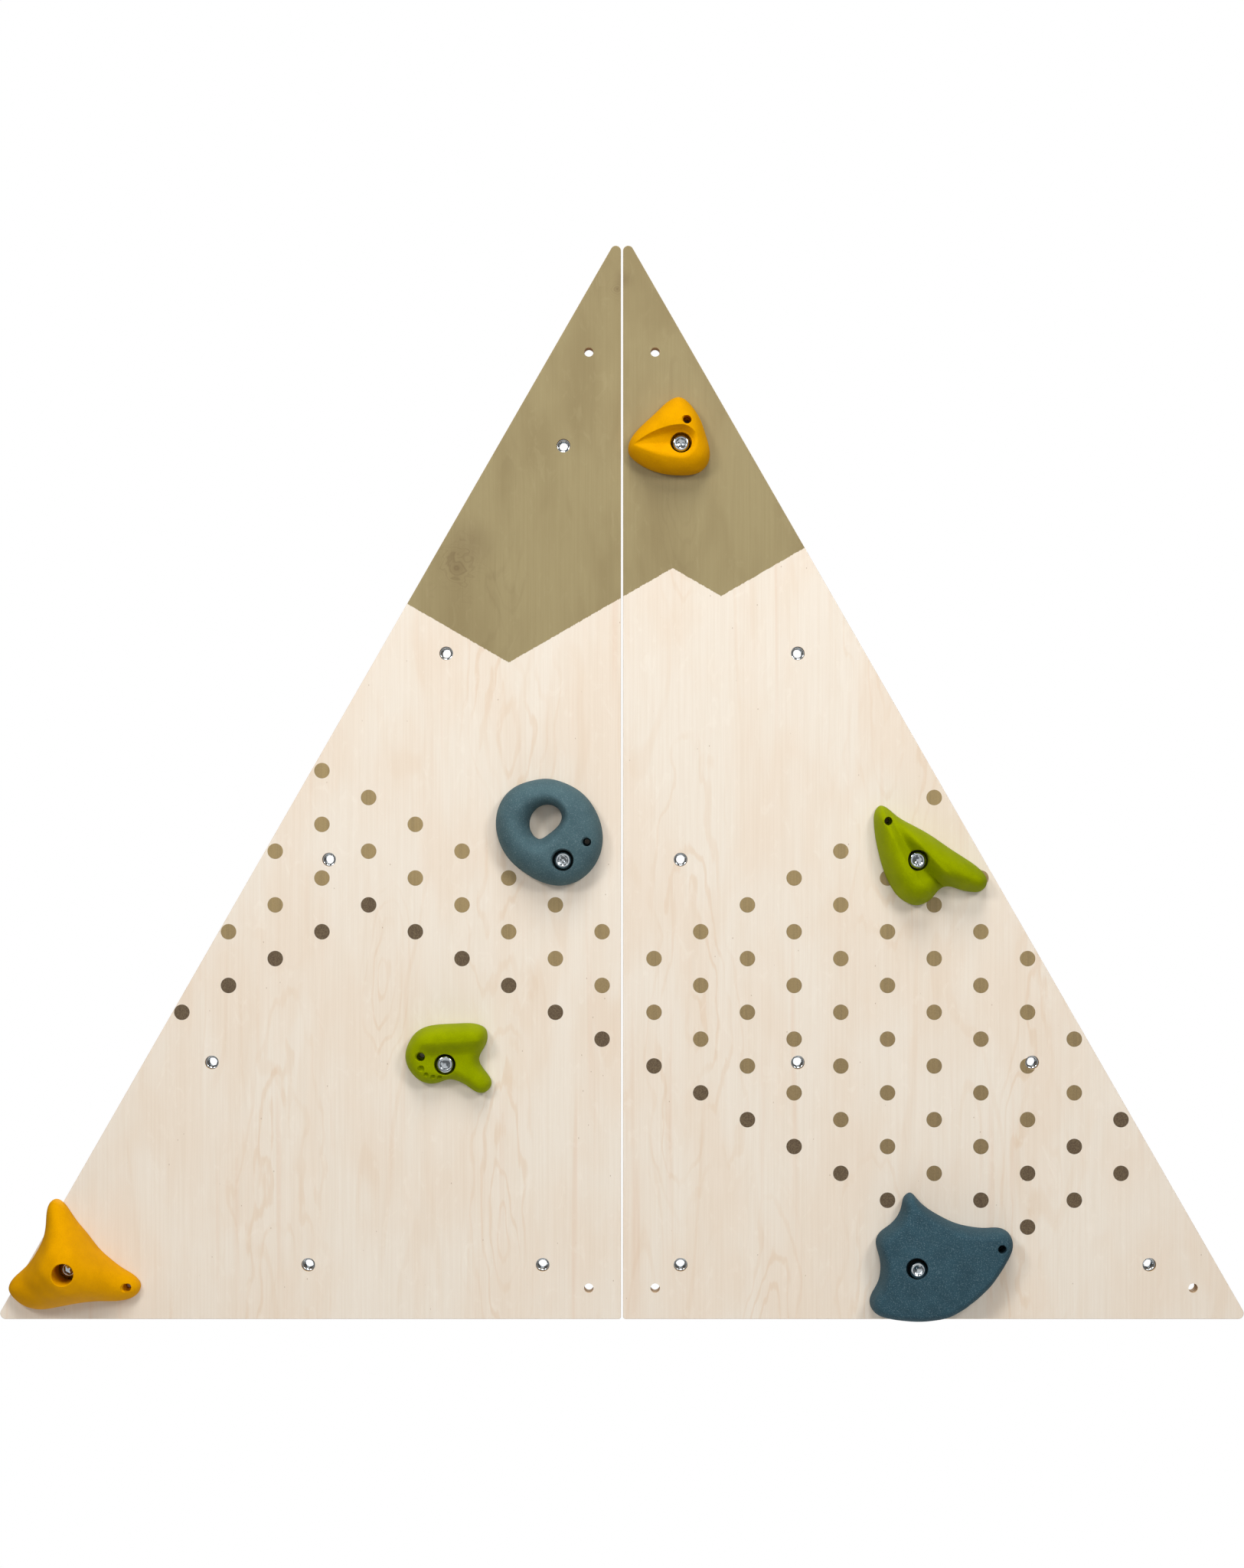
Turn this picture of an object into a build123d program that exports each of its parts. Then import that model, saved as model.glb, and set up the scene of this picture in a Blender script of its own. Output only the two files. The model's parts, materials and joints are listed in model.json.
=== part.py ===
"""Child's mountain-shaped climbing wall: two mirror-image plywood panels, eighteen T-nuts, six bolted holds.

All sizes are in millimetres. Every piece is drawn lying down: X to the right, Y up the wall from the
panels' bottom edge, Z out of the wall from the panels' back face. stand() then stands it up, so that the
front faces -Y, Z is up and the origin is midway between the two lower wall screws, in the plane of the
back face.
"""

from build123d import *

import os

# Plywood panels. Each is a right triangle, laid out to its sharp corners before they are rounded.
panel_base = 603.0  # seam to outer corner, along the bottom edge
panel_rise = 1049.5  # bottom edge to apex, up the seam
panel_thickness = 15.0
seam_gap = 2.0
apex_radius = 5.0
outer_corner_radius = 5.5
seam_corner_radius = 2.5
panel_edge_round = 0.8

# Holes for the wall screws
screw_hole_radius = 4.5
screw_from_seam = 32.0
lower_screw_height = 30.0
upper_screw_below_apex = 116.5
foot_screw_from_corner = 52.0

# T-nut layout: columns are counted from the seam, rows from the bottom edge
column_pitch = 3 / 16 * panel_base
first_column = column_pitch / 2
row_heights = [share * panel_rise for share in (0.050, 0.236, 0.4225, 0.612, 0.803)]
columns_in_row = [(0, 2, 4), (1, 3), (0, 2), (1,), (0,)]
left_bottom_row_shift = 20.0  # the left panel's bottom row is bored this much further out

# M10 bolts and T-nuts. Both threads are plain, at the pitch diameter.
bolt_radius = 5.0
thread_half_depth = 0.5
thread_clearance = 0.05
nut_bore_radius = bolt_radius - thread_half_depth

# T-nuts, sunk flush into the back face
nut_length = 11.5
barrel_wall = 1.5
barrel_radius = nut_bore_radius + barrel_wall
mouth_flare = 0.5  # the barrel's front end is spread by this much
mouth_radius = barrel_radius + mouth_flare
mouth_depth = 1.4
mouth_chamfer = 0.9
flange_radius = 12.0
flange_thickness = 1.4
prong_count = 4
prong_width = 5.0
prong_length = 7.0
prong_tip_width = 0.6
prong_thickness = 1.2
prong_from_rim = 2.2
barrel_clearance = 0.1
flange_clearance = 0.2

# Socket heads of the bolts, and their washers
head_radius = 8.0
head_height = 10.0
head_round = 1.2
socket_across_flats = 8.0
socket_depth = 5.0
tip_chamfer = 0.8
tip_depth = 12.5  # how far every bolt reaches behind the panel's front face
washer_overhang = 1.0
washer_thickness = 1.6
bolt_bore_clearance = 0.25
key_room = 2.2  # round the bolt head, in the hold's recess

# Small hole in each hold for a screw that stops it from turning
pin_hole_radius = 2.6
pin_head_radius = 4.1
pin_seat_height = 6.0


def stand(shape):
    """The shape stood up against the wall, in the frame that every piece shares."""
    return Pos(0, 0, -lower_screw_height) * Rot(90, 0, 0) * shape


def nut_places(side):
    """{(row, column): (x, y)} of one panel's T-nuts; side is 1 for the right panel, -1 for the left."""
    places = {}
    for row, columns in enumerate(columns_in_row):
        shift = left_bottom_row_shift if side < 0 and row == 0 else 0.0
        for column in columns:
            from_seam = first_column + column * column_pitch + shift
            places[row, column] = (side * from_seam, row_heights[row])
    return places


def screw_places(side):
    """Centres of the three wall-screw holes in one panel."""
    foot = panel_base - foot_screw_from_corner
    return [
        (side * screw_from_seam, panel_rise - upper_screw_below_apex),
        (side * screw_from_seam, lower_screw_height),
        (side * foot, lower_screw_height),
    ]


def prongs():
    """The T-nut's tapered prongs, pointing forward from the flange into the wood."""
    root, tip = prong_width / 2, prong_tip_width / 2
    outline = Polyline((-root, 0), (root, 0), (tip, prong_length), (-tip, prong_length), close=True)
    blade = Rot(90, 0, 0) * extrude(make_face(outline), prong_thickness)
    blade = Pos(0, flange_radius - prong_from_rim, flange_thickness) * blade
    return [Rot(0, 0, 45 + turn * 360 / prong_count) * blade for turn in range(prong_count)]


def make_panel(side):
    """One triangular panel with its T-nut holes, flange recesses, prong slots and wall-screw holes."""
    seam = side * seam_gap / 2
    corners = [(seam, 0), (seam + side * panel_base, 0), (seam, panel_rise)]
    outline = make_face(Polyline(*corners, close=True))
    for corner, radius in zip(corners, (seam_corner_radius, outer_corner_radius, apex_radius)):
        outline = fillet(outline.vertices().sort_by_distance(corner)[0], radius)
    panel = extrude(outline, panel_thickness)
    panel = fillet(panel.edges().group_by(Axis.Z)[-1], panel_edge_round)
    cuts = []
    for place in screw_places(side):
        cuts.append(Pos(*place, panel_thickness / 2) * Cylinder(screw_hole_radius, 2 * panel_thickness))
    for place in nut_places(side).values():
        at = Pos(*place, 0)
        cuts.append(at * Cylinder(mouth_radius + barrel_clearance, 3 * panel_thickness))
        cuts.append(at * Cylinder(flange_radius + flange_clearance, 2 * flange_thickness))
        cuts += [at * prong for prong in prongs()]
    return panel - cuts


def make_nut():
    """An M10 T-nut about the Z axis: flange at the back, barrel, flared mouth in front."""
    half = Polyline(
        (nut_bore_radius, 0),
        (flange_radius, 0),
        (flange_radius, flange_thickness),
        (barrel_radius, flange_thickness),
        (barrel_radius, nut_length - mouth_depth),
        (mouth_radius, nut_length - mouth_depth / 2),
        (mouth_radius, nut_length),
        (nut_bore_radius + mouth_chamfer, nut_length),
        (nut_bore_radius, nut_length - mouth_chamfer),
        close=True,
    )
    body = revolve(make_face(Plane.XZ * half), Axis.Z)
    return body + prongs()


def seat_height(bolt_length):
    """Height above the panel's front face of the washer's seat in a hold with this bolt."""
    return bolt_length - tip_depth - washer_thickness


def make_bolt(bolt_length):
    """A socket-head bolt about the Z axis, its tip tip_depth behind the panel's front face."""
    under_head = panel_thickness + seat_height(bolt_length) + washer_thickness
    tip = panel_thickness - tip_depth
    thread_radius = nut_bore_radius - thread_clearance
    thread_end = nut_length + thread_clearance
    half = Polyline(
        (0, tip),
        (thread_radius - tip_chamfer, tip),
        (thread_radius, tip + tip_chamfer),
        (thread_radius, thread_end),
        (bolt_radius, thread_end),
        (bolt_radius, under_head),
        (head_radius, under_head),
        (head_radius, under_head + head_height),
        (0, under_head + head_height),
        close=True,
    )
    bolt = revolve(make_face(Plane.XZ * half), Axis.Z)
    rim = bolt.edges().filter_by(GeomType.CIRCLE).sort_by(Axis.Z)[-1]
    bolt = fillet(rim, head_round)
    socket = RegularPolygon(socket_across_flats / 2, 6, major_radius=False)
    return bolt - Pos(0, 0, under_head + head_height - socket_depth) * extrude(socket, 2 * socket_depth)


def make_washer(bolt_length):
    """The washer under a bolt's head."""
    middle = panel_thickness + seat_height(bolt_length) + washer_thickness / 2
    disc = Cylinder(head_radius + washer_overhang, washer_thickness)
    bore = Cylinder(bolt_radius + bolt_bore_clearance, 2 * washer_thickness)
    return Pos(0, 0, middle) * (disc - bore)


def smooth_face(points, centre, share, height):
    """A face at this height inside a smooth curve: the points, shrunk about a centre to this share."""
    cx, cy = centre
    moved = [(cx + share * (x - cx), cy + share * (y - cy)) for x, y in points]
    return Pos(0, 0, height) * make_face(Spline(*moved, periodic=True))


def crowned(points, centre, thickness, levels):
    """A solid that stands on its outline and rounds over; levels are (share of height, share of width)."""
    sections = [smooth_face(points, centre, width, level * thickness) for level, width in levels]
    return Solid(loft(sections).wrapped)


def make_hold(shape):
    """One hold about its bolt's axis, standing on the panel's front face."""
    thickness = shape["thickness"]
    body = crowned(shape["outline"], shape["crown"], thickness, shape["levels"])
    seat = seat_height(shape["bolt_length"])
    tall = 2 * thickness
    recess_radius = head_radius + key_room
    recess_x, recess_y = shape.get("recess_shift", (0.0, 0.0))
    pin_x, pin_y = shape["pin"]
    cuts = [
        Cylinder(bolt_radius + bolt_bore_clearance, tall),
        Pos(recess_x, recess_y, seat + tall / 2) * Cylinder(recess_radius, tall),
        Pos(pin_x, pin_y, 0) * Cylinder(pin_hole_radius, tall),
        Pos(pin_x, pin_y, pin_seat_height + tall / 2) * Cylinder(pin_head_radius, tall),
    ]
    if "pocket" in shape:
        cuts.append(crowned(shape["pocket"], shape["pocket_centre"], thickness, pocket_flare))
    return Pos(0, 0, panel_thickness) * (body - shape["scoops"] - cuts)


def bowl(centre, radii):
    """An ellipsoid used to hollow out a hold."""
    return Pos(*centre) * scale(Sphere(1.0), by=radii)


def trough(start, end, radius):
    """A round-bottomed groove between two points, used to hollow out a hold."""
    run = Vector(*end) - Vector(*start)
    bar = extrude(Plane(origin=start, z_dir=run) * Circle(radius), run.length)
    return [bar, Pos(*start) * Sphere(radius), Pos(*end) * Sphere(radius)]


# How the holds round over, from the wall outwards: (share of the thickness, share of the outline's width)
full_round = [(0.0, 0.985), (0.12, 1.0), (0.45, 0.93), (0.78, 0.74), (1.0, 0.42)]
tall_peak = [(0.0, 0.985), (0.10, 1.0), (0.35, 0.86), (0.70, 0.58), (1.0, 0.30)]
low_slab = [(0.0, 0.985), (0.15, 1.0), (0.50, 0.94), (0.82, 0.80), (1.0, 0.52)]
pocket_flare = [(-0.05, 1.0), (0.35, 1.02), (0.7, 1.2), (1.1, 1.75)]

# The six holds, measured from the bolt's axis; "nut" is the (row, column) of the T-nut the bolt is in.
holds = {
    "yellow_scoop": {
        "side": 1,
        "nut": (4, 0),
        "bolt_length": 20.0,
        "thickness": 29.0,
        "levels": full_round,
        "crown": (-4, 2),
        "pin": (5.7, 21.5),
        "outline": [
            (-2, 46), (11, 37), (20, 22), (25, 7), (28, -6), (26, -18), (18, -26), (2, -29),
            (-14, -28), (-31, -23), (-43, -16), (-50, -8), (-50, 1), (-46, 9), (-36, 20), (-23, 32),
            (-12, 42),
        ],
        "scoops": [bowl((-4, 0, 30), (28, 15, 13))],
    },
    "slate_ring": {
        "side": -1,
        "nut": (2, 0),
        "bolt_length": 25.0,
        "thickness": 32.0,
        "levels": full_round,
        "crown": (-13, 26),
        "pin": (23, 17.5),
        "outline": [
            (-16, 78), (1, 74), (17, 65), (29, 51), (36, 35), (38, 19), (35, 4), (27, -10),
            (15, -20), (-1, -25), (-17, -23), (-37, -13), (-52, 0), (-61, 15), (-65, 32), (-63, 49),
            (-56, 62), (-45, 71), (-31, 76),
        ],
        "pocket": [(-12, 52), (-2, 43), (-5, 29), (-17, 20), (-28, 24), (-31, 40), (-24, 51)],
        "pocket_centre": (-17, 37),
        "scoops": [],
    },
    "green_shelf": {
        "side": -1,
        "nut": (1, 1),
        "bolt_length": 20.0,
        "thickness": 28.0,
        "levels": low_slab,
        "crown": (0, 10),
        "pin": (-23, 7.5),
        "outline": [
            (-31, 27), (-21, 34), (-6, 37), (13, 38), (31, 37), (38, 33), (40, 24), (37, 15),
            (33, 8), (32, 3), (35, -4), (41, -12), (44, -19), (41, -26), (34, -29), (26, -26),
            (17, -20), (10, -17), (2, -16), (-7, -19), (-15, -20), (-23, -18), (-31, -12),
            (-37, -3), (-39, 5), (-38, 14), (-35, 21),
        ],
        "scoops": trough((-26, 2, 32), (42, -8, 30), 15.0),
    },
    "yellow_peak": {
        "side": -1,
        "nut": (0, 4),
        "bolt_length": 25.0,
        "thickness": 50.0,
        "levels": tall_peak,
        "crown": (-3, 0),
        "pin": (54, -19),
        "outline": [
            (-17, 64), (-9, 60), (-3, 52), (4, 42), (14, 30), (25, 16), (36, 6), (48, -3),
            (59, -10), (65, -19), (62, -27), (54, -32), (43, -34), (24, -34), (4, -36), (-16, -40),
            (-32, -42), (-46, -39), (-57, -31), (-62, -22), (-59, -14), (-51, -6), (-42, 3),
            (-34, 15), (-28, 28), (-26, 41), (-25, 54), (-22, 61),
        ],
        "scoops": [],
    },
    "green_valley": {
        "side": 1,
        "nut": (2, 2),
        "bolt_length": 25.0,
        "thickness": 36.0,
        "levels": full_round,
        "crown": (-2, 0),
        "pin": (-28, 37.5),
        "outline": [
            (-34, 52), (-26, 49), (-19, 43), (-4, 34), (14, 24), (33, 11), (53, -2), (64, -11),
            (69, -20), (67, -27), (61, -31), (53, -31), (43, -29), (33, -26), (26, -27), (21, -31),
            (16, -37), (9, -42), (2, -44), (-7, -42), (-17, -35), (-24, -25), (-31, -9), (-36, 9),
            (-39, 25), (-40, 37), (-39, 46),
        ],
        "scoops": trough((-26, 38, 42), (30, -28, 34), 14.0),
    },
    "slate_fin": {
        "side": 1,
        "nut": (0, 2),
        "bolt_length": 30.0,
        "thickness": 36.0,
        "levels": low_slab,
        "crown": (8, -4),
        "pin": (80, 20),
        "recess_shift": (-0.8, 0.8),
        "outline": [
            (-5, 70), (1, 65), (9, 57), (25, 47), (38, 41), (55, 37), (68, 36), (81, 36), (90, 31),
            (93, 22), (90, 11), (82, -3), (71, -18), (56, -32), (42, -42), (30, -48), (15, -51),
            (0, -52), (-15, -51), (-32, -48), (-41, -43), (-44, -36), (-42, -27), (-37, -18),
            (-34, -8), (-34, 4), (-37, 16), (-38, 24), (-34, 32), (-25, 39), (-17, 48), (-13, 59),
            (-11, 66),
        ],
        "scoops": [],
    },
}


def all_pieces():
    """(name, solid) of every piece, placed in its panel."""
    sides = {"left": -1, "right": 1}
    for name, side in sides.items():
        yield f"panel_{name}", make_panel(side)
        for (row, column), place in nut_places(side).items():
            yield f"tnut_{name}_row{row + 1}_col{column + 1}", Pos(*place, 0) * make_nut()
    for name, shape in holds.items():
        at = Pos(*nut_places(shape["side"])[shape["nut"]], 0)
        yield f"hold_{name}", at * make_hold(shape)
        yield f"bolt_{name}", at * make_bolt(shape["bolt_length"])
        yield f"washer_{name}", at * make_washer(shape["bolt_length"])


os.makedirs("parts", exist_ok=True)
for piece_name, piece in all_pieces():
    export_step(stand(piece), f"parts/{piece_name}.step")
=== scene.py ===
"""Child's mountain-shaped climbing wall: birch plywood panels, printed dots, T-nuts, bolts and resin holds.

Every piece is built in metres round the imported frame. A hold's, nut's or bolt's own shape is worked out
in millimetres about its bolt's axis (x to the right, y up the wall, h out from the panel's front face) and
on_wall() then puts it in its place.
"""

import json
import math
from functools import partial

import bmesh
import bpy
import numpy as np
from bpy.props import FloatProperty, FloatVectorProperty, PointerProperty
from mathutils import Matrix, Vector

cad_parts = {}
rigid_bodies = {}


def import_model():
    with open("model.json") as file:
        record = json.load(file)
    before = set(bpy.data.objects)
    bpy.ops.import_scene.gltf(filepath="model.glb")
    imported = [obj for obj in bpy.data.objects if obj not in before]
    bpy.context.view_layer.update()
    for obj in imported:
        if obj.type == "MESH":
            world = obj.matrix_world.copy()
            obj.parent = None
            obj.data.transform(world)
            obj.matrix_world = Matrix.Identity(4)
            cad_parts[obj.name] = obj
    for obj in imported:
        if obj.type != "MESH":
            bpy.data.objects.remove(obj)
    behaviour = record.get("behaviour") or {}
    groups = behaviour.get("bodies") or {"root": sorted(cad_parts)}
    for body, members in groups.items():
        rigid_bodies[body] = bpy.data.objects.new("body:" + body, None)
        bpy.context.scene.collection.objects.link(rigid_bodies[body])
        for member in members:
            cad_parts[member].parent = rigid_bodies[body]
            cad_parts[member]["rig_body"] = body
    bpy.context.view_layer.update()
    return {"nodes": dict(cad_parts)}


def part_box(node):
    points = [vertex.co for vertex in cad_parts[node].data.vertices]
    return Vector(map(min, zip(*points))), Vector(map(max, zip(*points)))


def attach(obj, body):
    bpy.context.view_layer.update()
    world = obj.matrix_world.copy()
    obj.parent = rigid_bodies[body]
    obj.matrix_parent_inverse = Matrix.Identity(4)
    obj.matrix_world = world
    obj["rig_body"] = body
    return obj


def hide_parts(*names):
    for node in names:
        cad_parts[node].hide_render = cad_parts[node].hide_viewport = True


bl_info = {
    "name": "Climbing wall",
    "version": (1, 0, 0),
    "blender": (4, 5, 0),
    "location": "3D View > Sidebar > Climbing wall",
    "description": "Builds the looks of a child's climbing wall round its packed frame",
    "category": "Object",
}

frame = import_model()
MM = 0.001
TURN = 2 * math.pi
PANEL_LOW, PANEL_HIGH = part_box("panel_right")
FRONT = PANEL_LOW.y  # the panels' front face
BOTTOM = PANEL_LOW.z  # the panels' bottom edge
THICKNESS = PANEL_HIGH.y - PANEL_LOW.y

# The zig-zag lower edge of the stained cap: its three turning points, in metres from the seam, and the
# height of its fold line above the bottom edge. Every run of it climbs or falls at 30 degrees.
CAP_TURNS = (-0.1092, 0.0488, 0.0956)
CAP_HEIGHT = 0.6064
CAP_SLOPE = math.tan(math.radians(30))
PLIES = 7  # of 2.1 mm: real ones are thinner, and are drawn as coarse as they need to show
KNOTS = ((-0.160, 0.695, 0.013), (-0.0045, 0.964, 0.005))  # x, z and radius
# where the veneer's growth rings surface as nested flames: x, z, half width and half height
FLAMES = (
    (0.066, 0.28, 0.062, 0.28), (0.145, -0.06, 0.035, 0.19), (0.255, 0.55, 0.060, 0.30),
    (0.400, 0.10, 0.055, 0.34), (-0.330, -0.02, 0.070, 0.36), (-0.110, 0.52, 0.060, 0.34),
    (-0.115, 0.07, 0.040, 0.25), (0.060, 0.80, 0.035, 0.20), (-0.110, 0.74, 0.030, 0.16),
    (0.245, -0.03, 0.055, 0.20), (-0.230, 0.30, 0.035, 0.12),
)
FLAME_LINES = 5  # lines from a flame's centre to its half height
RING_LINES = 11  # lines that the growth rings draw over the whole range of their noise


# ---------------------------------------------------------------------------------------------------------
# Numbers and meshes


def linear(colour):
    """An sRGB hex colour as linear red, green, blue and an alpha of 1."""
    shares = [int(colour[i : i + 2], 16) / 255 for i in (1, 3, 5)]
    return (*(c / 12.92 if c <= 0.04045 else ((c + 0.055) / 1.055) ** 2.4 for c in shares), 1.0)


def smooth(v):
    """0 below 0, 1 above 1, and an S-shaped rise in between."""
    v = np.clip(v, 0.0, 1.0)
    return v * v * (3 - 2 * v)


def lesser(a, b, blend):
    """The lesser of a and b, with the corner between them rounded over about this much."""
    return 0.5 * (a + b - np.sqrt((a - b) ** 2 + blend**2))


def loop_through(points, count):
    """A smooth closed curve through the points: the periodic cubic spline over their chord lengths,
    read at this many places an equal way apart. Gives the places and the unit normals out of it."""
    p = np.array(points, float)
    step = np.linalg.norm(np.roll(p, -1, 0) - p, axis=1)
    before = np.roll(step, 1)
    n = len(p)
    rows = np.arange(n)
    system = np.zeros((n, n))
    system[rows, rows] = 2 * (before + step)
    system[rows, rows - 1] = before
    system[rows, (rows + 1) % n] = step
    rise = (np.roll(p, -1, 0) - p) / step[:, None]
    bend = np.linalg.solve(system, 6 * (rise - np.roll(rise, 1, 0)))
    knots = np.concatenate([[0], np.cumsum(step)])
    t = np.linspace(0, knots[-1], 4001)[:-1]
    i = np.clip(np.searchsorted(knots, t, "right") - 1, 0, n - 1)
    j = (i + 1) % n
    a, b, h = (knots[i + 1] - t)[:, None], (t - knots[i])[:, None], step[i][:, None]
    curve = (bend[i] * a**3 + bend[j] * b**3) / (6 * h)
    curve += (p[i] / h - bend[i] * h / 6) * a + (p[j] / h - bend[j] * h / 6) * b
    gap = np.linalg.norm(np.roll(curve, -1, 0) - curve, axis=1)
    along = np.concatenate([[0], np.cumsum(gap)])
    even = np.linspace(0, along[-1], count, endpoint=False)
    closed = np.vstack([curve, curve[:1]])
    places = np.stack([np.interp(even, along, closed[:, k]) for k in (0, 1)], 1)
    tangent = np.roll(places, -1, 0) - np.roll(places, 1, 0)
    normal = np.stack([tangent[:, 1], -tangent[:, 0]], 1)
    normal /= np.linalg.norm(normal, axis=1)[:, None]
    area = np.sum(places[:, 0] * np.roll(places[:, 1], -1) - places[:, 1] * np.roll(places[:, 0], -1))
    return places, normal * np.sign(area)


def soft_distance(where, curve):
    """Distance in from a closed curve without creases along its middle: one over the cube root of the sum,
    over the curve, of arc length divided by distance to the fourth power, scaled so that a straight edge
    gives its true distance."""
    arc = np.linalg.norm(np.roll(curve, -1, 0) - curve, axis=1)
    flat = where.reshape(-1, 2)
    total = np.zeros(len(flat))
    for part in np.array_split(np.arange(len(curve)), 12):
        gap = (flat[:, :1] - curve[part, 0]) ** 2 + (flat[:, 1:] - curve[part, 1]) ** 2
        total += (arc[part] / (gap + 0.01) ** 2).sum(1)
    return ((2 * total / math.pi) ** (-1 / 3)).reshape(where.shape[:-1])


def grid_faces(rows, columns, joined):
    """Four-sided faces of a grid whose columns close on themselves, and whose rows do too if joined."""
    i = np.arange(rows if joined else rows - 1)[:, None]
    j = np.arange(columns)[None, :]
    up, on = (i + 1) % rows, (j + 1) % columns
    corners = [i * columns + j, i * columns + on, up * columns + on, up * columns + j]
    return np.stack(np.broadcast_arrays(*corners), -1).reshape(-1, 4).tolist()


def shell(grid, joined=True):
    """(points, faces) of a closed grid. If its rows aren't joined, its first and last row are each closed."""
    rows, columns = grid.shape[:2]
    faces = grid_faces(rows, columns, joined)
    if not joined:
        last = (rows - 1) * columns
        faces += [list(range(columns)), list(range(last, last + columns))]
    return grid.reshape(-1, 3), faces


def together(shells):
    """Several shells as one."""
    starts = np.cumsum([0] + [len(points) for points, _ in shells])
    faces = [[v + int(s) for v in f] for s, (_, part) in zip(starts, shells) for f in part]
    return np.vstack([points for points, _ in shells]), faces


def new_mesh(name, shape):
    """A mesh of closed shells whose faces all point outwards."""
    mesh = bpy.data.meshes.new(name)
    mesh.from_pydata(shape[0].tolist(), [], shape[1])
    work = bmesh.new()
    work.from_mesh(mesh)
    bmesh.ops.recalc_face_normals(work, faces=work.faces)
    work.to_mesh(mesh)
    work.free()
    return mesh


def carve(mesh, cutter):
    """The mesh with the cutter's closed shells taken away from it."""
    objects = [bpy.data.objects.new("carve", m) for m in (mesh, cutter)]
    for o in objects:
        bpy.context.scene.collection.objects.link(o)
    cut = objects[0].modifiers.new("cut", "BOOLEAN")
    cut.operation, cut.solver, cut.object = "DIFFERENCE", "EXACT", objects[1]
    bpy.context.view_layer.update()
    ready = objects[0].evaluated_get(bpy.context.evaluated_depsgraph_get())
    made = bpy.data.meshes.new_from_object(ready)
    for o in objects:
        bpy.data.objects.remove(o)
    return made


def dress(mesh, material):
    """Gives the mesh this material alone."""
    mesh.materials.clear()
    mesh.materials.append(material)


def finish_piece(name, mesh, material, body, nodes=(), crease=38.0):
    """Shades the mesh smooth up to the crease angle and hands it over as a piece on its body."""
    mesh.name = name
    dress(mesh, material)
    mesh.shade_smooth()
    mesh.set_sharp_from_angle(angle=math.radians(crease))
    piece = bpy.data.objects.new(name, mesh)
    bpy.context.scene.collection.objects.link(piece)
    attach(piece, body)
    if nodes:
        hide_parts(*nodes)
    return piece


def on_wall(points, centre):
    """Millimetres about a bolt's axis (x, y, h) put at their place on the wall, in metres."""
    x, y, h = np.moveaxis(points, -1, 0)
    return np.stack([centre[0] + x * MM, FRONT - h * MM, centre[1] + y * MM], -1)


def centre_of(node):
    """(x, z) of the middle of a CAD node."""
    low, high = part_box(node)
    return (low.x + high.x) / 2, (low.z + high.z) / 2


def turned(profile, columns, shape=None):
    """A surface of revolution about the h axis: each (radius, height) of the profile is carried round, and
    shape(angle, radius, height) may change the radius."""
    angle = np.linspace(0, TURN, columns, endpoint=False)[None, :]
    radius, height = (np.array(profile, float)[:, k : k + 1] + 0 * angle for k in (0, 1))
    if shape:
        radius = shape(angle, radius, height)
    return np.stack([radius * np.cos(angle), radius * np.sin(angle), height], -1)


def spun(points, angle):
    """The points turned about the h axis."""
    c, s = math.cos(angle), math.sin(angle)
    return points @ np.array([[c, s, 0], [-s, c, 0], [0, 0, 1]])


def thread(angle, height, pitch):
    """A screw thread's ridge, from 0 in the groove to 1 on the crest: a triangle wave of the height over
    the pitch less the share of a turn."""
    share = (height / pitch - angle / TURN) % 1.0
    return smooth(1 - np.abs(2 * share - 1))


# ---------------------------------------------------------------------------------------------------------
# Materials

# short names of nodes: the type, the inputs that the values go to in turn, the output and the settings
NODES = {
    "mix": ("ShaderNodeMix", (0, 6, 7), 2, {"data_type": "RGBA"}),
    "ramp": ("ShaderNodeMapRange", range(5), 0, {"interpolation_type": "SMOOTHSTEP"}),
    "distance": ("ShaderNodeVectorMath", (0, 1), 1, {"operation": "DISTANCE"}),
}
SUMS = "ADD SUBTRACT MULTIPLY MULTIPLY_ADD DIVIDE SINE ABSOLUTE PINGPONG MODULO GREATER_THAN".split()
NODES.update({name: ("ShaderNodeMath", range(3), 0, {"operation": name}) for name in SUMS})


def add_node(tree, kind, *values, out=None, **settings):
    """Adds a node, whose kind is Blender's name for it or one from NODES. Its values go to the inputs that NODES
    gives, or are one {input: value}. A value is a number, a vector, an sRGB hex, or a socket to link."""
    node_type, places, usual_out, usual = NODES.get(kind, (kind, (), 0, {}))
    made = tree.nodes.new(node_type)
    for name, value in {**usual, **settings}.items():
        setattr(made, name, value)
    inputs = dict(zip(places, values)) if places else dict(*values)
    for name, value in inputs.items():
        if isinstance(value, bpy.types.NodeSocket):
            tree.links.new(value, made.inputs[name])
        else:
            made.inputs[name].default_value = linear(value) if isinstance(value, str) else value
    return made.outputs[usual_out if out is None else out] if made.outputs else None


def blank(name):
    """A new material without nodes, the function that adds a node to it, and the piece's own coordinates."""
    material = bpy.data.materials.new(name)
    material.use_nodes = True
    material.node_tree.nodes.clear()
    add = partial(add_node, material.node_tree)
    return material, add, add("ShaderNodeTexCoord", out=3)


def stretched(add, coords, sizes_mm, detail=2.0, roughness=0.5, distortion=0.0, offset=(0, 0, 0)):
    """A pattern of blotches about this many millimetres across, along each axis."""
    moved = add("ShaderNodeMapping", {0: coords, 1: offset, 3: [1 / (size * MM) for size in sizes_mm]})
    inputs = {"Vector": moved, "Scale": 1.0, "Detail": detail, "Roughness": roughness, "Distortion": distortion}
    return add("ShaderNodeTexNoise", inputs)


def layered(add, colour, rows):
    """The colour with others laid over it in turn. Each row is a pattern, the two values between which the
    other colour comes up, the share that it reaches, and the other colour."""
    for pattern, low, high, share, other in rows:
        colour = add("mix", add("ramp", pattern, low, high, 0.0, share), colour, other)
    return colour


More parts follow.
